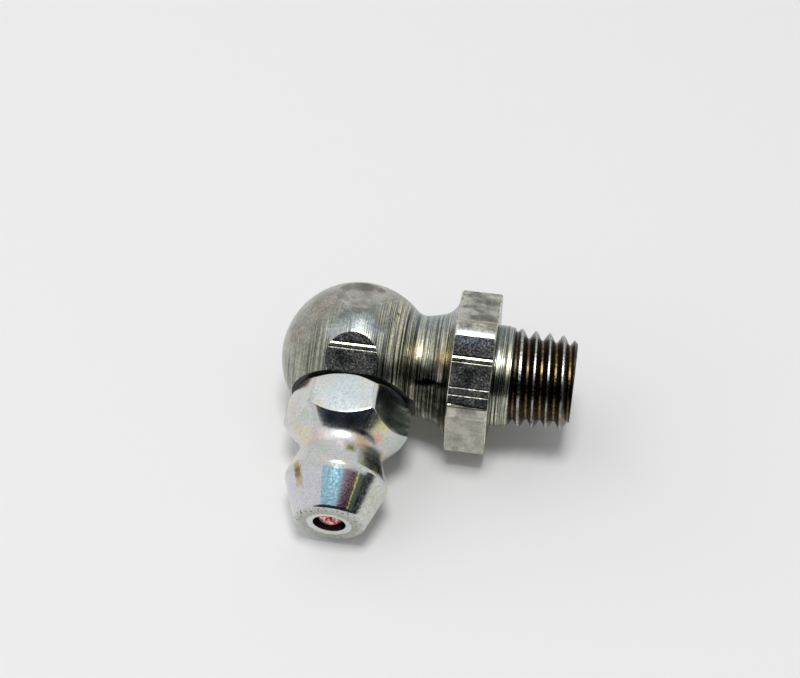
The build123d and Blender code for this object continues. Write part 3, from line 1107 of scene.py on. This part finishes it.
on_neck = add(tree, "MapRange", x, COOL_REFLECTION_FROM, COOL_REFLECTION_FROM + 1)
upper_side = add(tree, "MapRange", y, -0.1, 1.0, 0.0, 0.75)
# Painted reflection: the neck's upper side is painted a cool grey for the room behind it.
painted_cool_reflection = add(tree, "Math", on_neck, upper_side, operation="MULTIPLY")
cool_reflection_lines = add(tree, "ValToRGB", height, stops=[(0.3, "5E676B"), (0.7, "98A1A0")])
colour = add(tree, "Mix", data_type="RGBA", link={0: painted_cool_reflection, 6: colour, 7: cool_reflection_lines})
colour = lay_marks(tree, mm, colour, blotches, 2.0, TURNED_MARKS)
print("the neck turns cool at x", COOL_REFLECTION_FROM, "mm")

# %% Shading of the turned steel
colour = speckled(tree, colour, blotches, (0.3, 0.7), 0.86, 1.14)
colour = speckled(tree, colour, specks, (0.3, 0.7), 0.76, 1.24)
gloss = add(tree, "MapRange", rings, 0.3, 0.7, 0.17, 0.32)
bare = add(tree, "Math", 1.15, plated_over, operation="SUBTRACT")
ring_relief = add(tree, "Math", height, bare, operation="MULTIPLY")
relief = add(tree, "Math", specks, 0.4, ring_relief, operation="MULTIPLY_ADD")
finish_surface(tree, shader, colour, gloss, relief, 0.008)

# %% [markdown]
# ## The drawn flats
#
# The flats were never touched by the tool. They are the skin that the drawing die left on the
# bar: bright, nearly a mirror, with fine lines along its length and a few deeper scratches where
# grit sat in the die. A scratch is one long groove, so the same scratches cross the ball's
# facet and the flange. They are drawn by a colour ramp over the distance across the flat, used
# as height: one wall of each groove tips up towards the lamp and shows as a bright line. The same
# ramp also paints each groove cream, a painted highlight along it.

# %% Places on a flat
drawn_flats, tree, shader, mm = new_surface("bright_drawn_flats", elbow_place)
place = add(tree, "TexCoord")
from_ball = add(
    tree, "Mapping", vector_type="TEXTURE",
    link={"Vector": place.outputs["Object"], "Location": ball_centre, "Scale": (MM, MM, MM)},
)
sideways = add(tree, "VectorMath", place.outputs["Normal"], thread_axis, operation="CROSS_PRODUCT")
across = add(tree, "VectorMath", sideways, from_ball, operation="DOT_PRODUCT")
lengthwise = add(tree, "VectorMath", from_ball, thread_axis, operation="DOT_PRODUCT")

# Each flat has its own scratches: the set is shifted by an amount that depends on its normal.
front_flat = 0.5 * nipple_axis + sqrt(0.75) * side_axis
shift = add(
    tree, "VectorMath", place.outputs["Normal"], front_flat.cross(thread_axis) * 3.0,
    operation="DOT_PRODUCT",
)
shifted = add(tree, "Math", across, shift, operation="ADD")
print("front flat faces", [round(v, 2) for v in front_flat])

# %% Scratches of the drawing die
SCRATCHES = [
    # place across the flat and half width, mm, and depth as a share of the deepest
    (-2.15, 0.08, 0.6), (-1.55, 0.05, 0.3), (-1.06, 0.06, 0.35),
    (0.57, 0.05, 0.3), (0.93, 0.12, 1.0),
]
HALF_SPAN = 3.0                     # mm of the flat to each side that the ramp covers

ramp_place = add(tree, "MapRange", shifted, -HALF_SPAN, HALF_SPAN)
stops = []
for middle, half_width, share in SCRATCHES:
    for offset, level in ((-half_width, 1.0), (0.0, 1.0 - share), (half_width, 1.0)):
        stops.append(((middle + offset + HALF_SPAN) / (2 * HALF_SPAN), level))
scratch = add(tree, "ValToRGB", ramp_place, stops=stops)
print("scratches:", len(SCRATCHES), "widest", 2 * max(s[1] for s in SCRATCHES), "mm")

# %% [markdown]
# The skin itself is not one grey. The oil of the bar and years of handling left soft clouds of
# olive, beige and a little brown on the flats that lie in the light, and a brown smear with two
# darker ends crosses the facet on top of the ball. The flange's bottom flat is painted paler, a
# painted reflection of the paper, and a pale blue-white strip along the edge of the flange's top
# flat is a painted highlight.

# %% Skin of the flats
SKIN_MARKS = [
    # where, reach, colour, strength
    ((0.1, 2.5, 4.2), 1.9, "9C9F95", 0.65),
    ((0.3, 3.3, 3.8), 0.9, "67595A", 0.75),
    ((1.2, 3.0, 3.6), 0.5, "5E5250", 0.6),
    ((-1.0, 3.2, 3.7), 0.8, "7D8076", 0.6),
    # Painted reflection: the bottom flat is painted paler.
    ((7.7, -4.76, 0.0), 2.6, "C8C6B6", 0.45),
    ((8.5, 3.4, 3.9), 0.9, "5C5D52", 0.7),
    ((7.6, 2.7, 4.3), 0.6, "6C6C62", 0.6),
    ((8.0, 1.6, 4.7), 0.5, "74746A", 0.55),
    ((7.2, -4.76, -1.3), 0.8, "8E8C7C", 0.5),
    ((8.5, -4.76, 0.9), 0.5, "96988A", 0.5),
    # Painted highlight: a pale blue-white strip along the edge of the top flat.
    ((6.8, -0.45, 5.05), 0.55, "E6EEF8", 0.85),
    ((7.6, -0.45, 5.05), 0.6, "E6EEF8", 0.9),
    ((8.5, -0.45, 5.05), 0.55, "E6EEF8", 0.85),
]

slow_length = add(tree, "Math", lengthwise, 0.05, operation="MULTIPLY")
line_place = add(tree, "CombineXYZ", shifted, slow_length, shift)
lines = add(tree, "TexNoise", link={"Vector": line_place, "Scale": 6.0, "Detail": 2.0})
clouds = add(tree, "TexNoise", link={"Vector": from_ball, "Scale": 0.9, "Detail": 4.0})
specks = add(tree, "TexNoise", link={"Vector": from_ball, "Scale": 8.0, "Detail": 2.0})
skin_colour = add(
    tree, "ValToRGB", clouds,
    stops=[(0.3, "66645F"), (0.4, "878781"), (0.5, "AEAFA5"), (0.6, "C8C4B6"), (0.72, "8E9084")],
)
# Painted highlight: the scratch ramp paints each groove cream.
colour = add(
    tree, "Mix", data_type="RGBA", link={0: scratch, 6: linear("CDC39C"), 7: skin_colour}
)
colour = lay_marks(tree, mm, colour, clouds, 2.0, SKIN_MARKS)
colour = speckled(tree, colour, specks, (0.3, 0.7), 0.78, 1.22)
print("marks on the flats:", len(SKIN_MARKS))

# %% Shading of the flats
gloss = add(tree, "MapRange", specks, 0.35, 0.7, 0.13, 0.26)
fine_relief = add(tree, "Math", specks, 0.35, lines, operation="MULTIPLY_ADD")
relief = add(tree, "Math", fine_relief, 0.014, scratch, operation="MULTIPLY_ADD")
finish_surface(tree, shader, colour, gloss, relief, 0.03)

# %% [markdown]
# ## The thread
#
# A die tears a little as it cuts, and its oil stays in the grooves and turns brown. Crests rub
# against everything and stay bright. So the colour follows the depth below the crest: bright
# steel on top, partly a painted highlight, nearly black on the flanks, partly oil and partly
# painted shade, and a golden brown at the root, in patches. Marks darken the upper front nearly
# to black, a painted dark reflection, and paint the lower side a duller brown, a painted
# reflection. The gold at the end is a stain.

# %% Depth below the crest
thread_steel, tree, shader, mm = new_surface("die_cut_thread", elbow_place)
x = add(tree, "SeparateXYZ", mm)
outside_at_x = add(
    tree, "Math", x, -tan(radians(THREAD_HALF_TAPER)), crest_at(0), operation="MULTIPLY_ADD"
)
depth = add(tree, "Math", outside_at_x, radius_at(tree, mm), operation="SUBTRACT")
print("groove of", GROOVE_DEPTH, "mm; first crest radius", round(crest_at(thread_start), 2))

# %% Colour of the thread
patches = add(tree, "TexNoise", link={"Vector": mm, "Scale": 1.3, "Detail": 4.0})
specks = add(tree, "TexNoise", link={"Vector": mm, "Scale": 6.0, "Detail": 3.0})
frayed = add(tree, "Math", specks, 0.16, depth, operation="MULTIPLY_ADD")
# Painted light: the bright crest colour is partly a painted highlight, and the near-black flanks
# are partly oil and partly painted shade.
depth_colour = add(
    tree, "ValToRGB", frayed,
    stops=[
        (0.07, "B6B8B6"), (0.15, "76736A"), (0.25, "4A453B"), (0.45, "342F27"), (0.6, "544A3A"),
        (0.68, "5E5138"),
    ],
)
gold_roots = add(
    tree, "ValToRGB", frayed,
    stops=[(0.25, "2E261C"), (0.42, "4E412C"), (0.6, "6A5A40"), (0.68, "82724F")],
)
gold_here = add(
    tree, "MapRange", patches, 0.52, 0.62, 0.0, 0.7, interpolation_type="SMOOTHSTEP"
)
below_crest = add(tree, "MapRange", depth, 0.05, 0.2)
gold_here = add(tree, "Math", gold_here, below_crest, operation="MULTIPLY")
colour = add(tree, "Mix", data_type="RGBA", link={0: gold_here, 6: depth_colour, 7: gold_roots})
print("colours by depth:", len(depth_colour.color_ramp.elements))

# %% Painted reflections and a stain on the thread
THREAD_MARKS = [
    # where, reach, colour, strength
    # Painted dark reflection: the near-black marks along the upper front.
    ((10.4, -2.15, 2.4), 0.8, "241F19", 0.8),
    ((11.5, -2.1, 2.4), 0.7, "241F19", 0.75),
    ((12.6, -2.15, 2.3), 0.9, "1E1A15", 0.85),
    ((13.6, -2.05, 2.2), 0.8, "1E1A15", 0.85),
    ((14.0, -2.7, 1.3), 0.7, "241F19", 0.8),
    # A gold stain at the end.
    ((14.0, -1.0, 2.7), 0.6, "5E4E30", 0.8),
    ((14.0, 0.1, 2.9), 0.5, "75643E", 0.7),
    # Painted reflection: the lower side is painted a duller brown.
    ((10.3, -3.0, 0.7), 0.9, "80745C", 0.65),
    ((11.4, -3.0, 0.6), 0.9, "80745C", 0.65),
    ((12.5, -2.9, 0.6), 0.9, "7A6C54", 0.65),
    ((13.5, -2.9, 0.4), 0.8, "75664C", 0.65),
]

colour = lay_marks(tree, mm, colour, patches, 1.0, THREAD_MARKS)
colour = speckled(tree, colour, specks, (0.35, 0.68), 0.5, 1.5)
gloss = add(tree, "MapRange", specks, 0.3, 0.7, 0.2, 0.42)
finish_surface(tree, shader, colour, gloss, specks, 0.014)

# %% [markdown]
# ## Old grease and painted shade
#
# The gap under the nipple and the insides of the bores hold old grease, and their near-black
# colour is also painted shade for these recesses. It is no metal: a dark, slightly wet film that
# swallows most light and glints a little.

# %% Black grease and painted shade
grease_and_painted_shade, tree, shader, mm = new_surface("black_grease_and_painted_shade", elbow_place, metallic=0.0)
lumps = add(tree, "TexNoise", link={"Vector": mm, "Scale": 2.5, "Detail": 3.0})
# Painted shade: the near-black colour also stands in for the shade in the seat's gap and the bores.
colour = add(tree, "ValToRGB", lumps, stops=[(0.4, "060709"), (0.6, "15130F"), (0.75, "2A2116")])
finish_surface(tree, shader, colour, 0.32, lumps, 0.05)

# %% [markdown]
# ## Rubbed edges and painted edge highlight
#
# Wrenches and other fittings rub the flange's edges first. There the plating is gone and bare
# steel shines in a thin pale line, broken where the edge was never touched. The pale colour is
# also a painted highlight along the edges.

# %% Rubbed edges and painted highlight
rubbed_edge_and_sheen, tree, shader, mm = new_surface("rubbed_edge_and_painted_sheen", elbow_place)
wear = add(tree, "TexNoise", link={"Vector": mm, "Scale": 2.0, "Detail": 3.0})
# Painted highlight: the pale colour also stands in for the edge's highlight.
colour = add(tree, "ValToRGB", wear, stops=[(0.35, "8F8C80"), (0.5, "CFCCBE"), (0.65, "EAE8DC")])
plug(tree, shader, Base_Color=colour, Roughness=0.34)

for finish in (turned_steel, drawn_flats, thread_steel, grease_and_painted_shade, rubbed_edge_and_sheen):
    elbow.data.materials.append(finish)
print("elbow finishes:", [material.name for material in elbow.data.materials])

# %% [markdown]
# ## Bright zinc
#
# The nipple head is zinc plated and given a clear passivation. The zinc itself is a pale bluish
# white metal. The passivation is a film thinner than a wavelength of light, so it tints what it
# reflects: pale blue, lavender, pink and a yellowish green in soft patches. The tint is a slow
# noise through a colour ramp. The crystals of the plating show as a fine grain.

# %% Pale tints of the zinc
TINTS_PER_MM = 0.9

zinc, tree, shader, mm = new_surface("passivated_bright_zinc", nipple_place)
x, y, z = add(tree, "SeparateXYZ", mm).outputs
clouds = add(tree, "TexNoise", link={"Vector": mm, "Scale": TINTS_PER_MM, "Detail": 4.0})
grain = add(tree, "TexNoise", link={"Vector": mm, "Scale": 6.0, "Detail": 2.0})
tint = add(
    tree, "ValToRGB", clouds,
    stops=[(0.3, "C2CDBE"), (0.42, "CDD3CE"), (0.5, "D2D2D4"), (0.58, "DAD3C8"), (0.7, "D8D6BA")],
)
ragged = add(tree, "Math", grain, 0.5, operation="SUBTRACT")
print("zinc tints change over about", round(1 / TINTS_PER_MM, 1), "mm")

# %% [markdown]
# On the front cone the film ran thick. It is a stronger blue on top and goes over into purple,
# a narrow line of gold and a dark green as the cone turns away, so its colour is a ramp over
# the angle about the axis. Its darker purple-brown and dark green bands on the turned-away side
# are a painted dark reflection.

# %% Thick film and painted dark reflection on the cone
CONE_FROM = 9.6                     # mm along the axis, where the thick film begins
FILM_HALF_SPAN = 60                 # degrees to each side of the top of the cone
# The darker purple-brown and dark green stops are a painted dark reflection.
FILM_AND_SHADE_STOPS = [
    (-14, "D2D2D8"), (-11.5, "9CC4D2"), (10, "94BCCC"), (15, "9C8A9C"), (26, "7E6662"),
    (28.5, "8C7C62"), (30, "E2D892"), (32, "5A6A5C"), (40, "56625C"), (44, "CFD2C8"),
]

film_angle = add(tree, "Math", y, z, operation="ARCTAN2")
film_angle = add(tree, "Math", film_angle, operation="DEGREES")
film_angle = add(tree, "Math", ragged, 4.0, film_angle, operation="MULTIPLY_ADD")
film_place = add(tree, "MapRange", film_angle, -FILM_HALF_SPAN, FILM_HALF_SPAN)
film = add(
    tree, "ValToRGB", film_place,
    stops=[((a + FILM_HALF_SPAN) / (2 * FILM_HALF_SPAN), c) for a, c in FILM_AND_SHADE_STOPS],
)
thick = between(tree, x, CONE_FROM, CONE_FROM + 0.2, tip_reach - 0.25, tip_reach - 0.1)
colour = add(tree, "Mix", data_type="RGBA", link={0: thick, 6: tint, 7: film})
print("film colours:", len(FILM_AND_SHADE_STOPS))

# %% [markdown]
# The tip was pressed by many couplers. Round the inlet it is rubbed to a pale ring, and outside
# that ring the plating is greyer, with dark dots where it came off. The facet that faces the
# thread is painted a darker grey, a painted dark reflection of the elbow and the shaded paper
# beside it.

# %% Tip
TIP_SPAN = (1.0, 2.5)               # mm from the axis that the ramp covers

frayed = add(tree, "Math", ragged, 0.5, radius_at(tree, mm), operation="MULTIPLY_ADD")
ring_place = add(tree, "MapRange", frayed, *TIP_SPAN)
tip_colour = add(
    tree, "ValToRGB", ring_place,
    stops=[(0.1, "D3D7D2"), (0.26, "D6DAD6"), (0.33, "9EA196"), (0.6, "BABDB3"), (0.85, "CDD0CA")],
)
on_tip = add(tree, "MapRange", x, tip_reach - 0.2, tip_reach - 0.05)
colour = add(tree, "Mix", data_type="RGBA", link={0: on_tip, 6: colour, 7: tip_colour})
print("colours of the tip:", len(tip_colour.color_ramp.elements))

# %% Painted shade on the facet that faces the thread
facet_angle = radians(90 + NIPPLE_CLOCKING - 60)
thread_side_facet = thread_axis * cos(facet_angle) + side_axis * sin(facet_angle)
facing = add(
    tree, "VectorMath", add(tree, "TexCoord").outputs["Normal"], thread_side_facet, operation="DOT_PRODUCT"
)
# Painted shade: the facet that faces the thread is painted a darker grey.
painted_facet_shade = add(tree, "MapRange", facing, 0.985, 0.995)
colour = add(tree, "Mix", data_type="RGBA", link={0: painted_facet_shade, 6: colour, 7: linear("B2BCBE")})
print("oily facet faces", [round(v, 2) for v in thread_side_facet])

# %% [markdown]
# A few stains are plain to see: a brown streak where the head was gripped, an olive spot and
# pink and straw-coloured patches in the hollow behind the rim. A place on top of the hollow is
# painted nearly white, a painted highlight, and the hollow's side towards the thread is painted
# dark green-grey, a painted shade. The hexagon's chamfer has dull spots, and faint dots run down
# the hexagon's edge on the left.

# %% Stains on the zinc
ZINC_MARKS = [
    # where, reach, colour, strength
    ((4.6, 0.0, 3.57), 2.0, "DCE8EC", 0.9),
    # Painted highlight on top of the hollow.
    ((7.1, -0.7, 2.65), 1.0, "F6F2F4", 0.85),
    ((7.3, -1.7, 2.3), 0.7, "DCC9C0", 0.6),
    ((9.4, -2.35, 2.15), 0.4, "B8A27A", 0.8),
    ((9.75, -2.3, 2.15), 0.38, "8A6C48", 1.0),
    ((10.1, -2.25, 2.1), 0.36, "967A52", 1.0),
    ((10.5, -2.15, 2.0), 0.4, "BDB088", 0.85),
    ((6.3, -0.7, 3.2), 0.4, "7E9A78", 0.7),
    ((6.35, 0.6, 3.2), 0.5, "9C8478", 0.7),
    ((6.1, 1.5, 3.1), 0.35, "9AA07C", 0.7),
    # Painted shade on the hollow's side towards the thread.
    ((8.2, 1.8, 2.2), 0.5, "8E9684", 0.7),
    ((8.3, 2.5, 1.5), 0.9, "66716C", 0.9),
    ((5.35, -2.24, 3.3), 0.14, "4A4A44", 0.6),
    ((5.38, -2.38, 3.1), 0.09, "4A4A44", 0.6),
    ((5.43, -2.86, 2.25), 0.11, "4A4A44", 0.55),
    ((5.4, -3.02, 1.95), 0.08, "4A4A44", 0.5),
    ((5.38, -3.3, 1.38), 0.13, "4A4A44", 0.55),
    ((6.8, 1.35, 2.5), 0.22, "3E3A22", 0.9),
    ((7.05, 1.6, 2.3), 0.16, "1E1C18", 0.9),
    ((8.05, 0.8, 2.76), 0.36, "8A8846", 0.95),
    ((7.27, 1.43, 2.27), 0.6, "CFAE92", 0.9),
    ((6.16, 2.29, 2.58), 0.9, "D2CE9E", 0.85),
    ((6.68, 2.29, 1.81), 0.5, "E0B4A2", 0.85),
    ((5.2, -3.4, 1.2), 1.2, "CFC4B4", 0.5),
    ((6.2, -2.9, 1.5), 0.9, "D2CBB8", 0.5),
    ((11.0, 2.7, 1.4), 0.8, "CFC9B4", 0.5),
]

colour = lay_marks(tree, mm, colour, grain, 1.0, ZINC_MARKS)
print("marks on the zinc:", len(ZINC_MARKS))

# %% Grain and pits of the zinc
PIT_LEVEL = 0.7                     # grain noise above this is a pit

coloured = add(tree, "MapRange", film_angle, -18, -12)
coloured = add(tree, "Math", coloured, thick, operation="MULTIPLY")
coarse_here = add(tree, "MapRange", coloured, 0.0, 1.0, 0.5, 1.0)
strong_grain = add(tree, "Math", ragged, coarse_here, operation="MULTIPLY")
colour = speckled(tree, colour, strong_grain, (-0.2, 0.2), 0.75, 1.22)
outer_tip = add(tree, "MapRange", frayed, 1.6, 1.9)
outer_tip = add(tree, "Math", outer_tip, on_tip, operation="MULTIPLY")
more_pits = add(tree, "Math", outer_tip, 0.13, grain, operation="MULTIPLY_ADD")
pits = add(tree, "MapRange", more_pits, PIT_LEVEL, PIT_LEVEL + 0.05)
colour = add(tree, "Mix", data_type="RGBA", link={0: pits, 6: colour, 7: linear("55564C")})
print("grain noise above", PIT_LEVEL, "is a pit")

# %% Shading of the zinc
HOLLOW_SPAN = (6.5, 6.9, 8.2, 8.6)  # mm along the axis: start, full, fading and end

gloss = add(tree, "MapRange", strong_grain, -0.2, 0.2, 0.13, 0.24)
hollow = between(tree, x, *HOLLOW_SPAN)
duller = add(tree, "Math", hollow, 0.14, gloss, operation="MULTIPLY_ADD")
finish_surface(tree, shader, colour, duller, strong_grain, 0.008)
for finish in (zinc, grease_and_painted_shade):
    nipple.data.materials.append(finish)

# %% [markdown]
# ## The check ball and its spring
#
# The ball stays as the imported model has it, because a ball is exactly that. It is a bearing
# ball with a coppery red wash, dulled by grease, so that it takes in light from the whole mouth.
# The wire is drawn steel under a brown film of oil, and dull too.

# %% Ball and wire
ball_steel, tree, shader, mm = new_surface("copper_washed_ball", nipple_place)
specks = add(tree, "TexNoise", link={"Vector": mm, "Scale": 5.0, "Detail": 2.0})
colour = add(
    tree, "ValToRGB", specks,
    stops=[(0.38, "7E2A2A"), (0.46, "C06060"), (0.56, "DB9A98"), (0.66, "F6E0DE")],
)
plug(tree, shader, Base_Color=colour, Roughness=0.36)

spring_steel, tree, shader, mm = new_surface("oiled_spring_wire", nipple_place)
film = add(tree, "TexNoise", link={"Vector": mm, "Scale": 3.0, "Detail": 3.0})
colour = add(tree, "ValToRGB", film, stops=[(0.35, "33291C"), (0.5, "6B6860"), (0.65, "9A9A98")])
plug(tree, shader, Base_Color=colour, Roughness=0.3)

spring.data.materials.append(spring_steel)
ball_materials = frame["nodes"]["check_ball"].data.materials
ball_materials.clear()
ball_materials.append(ball_steel)
print("check ball and spring dressed")

# %% [markdown]
# ## The view
#
# The picture uses the Standard view, so that a colour shows as it is written.

# %% Set the view
bpy.context.scene.view_settings.view_transform = "Standard"
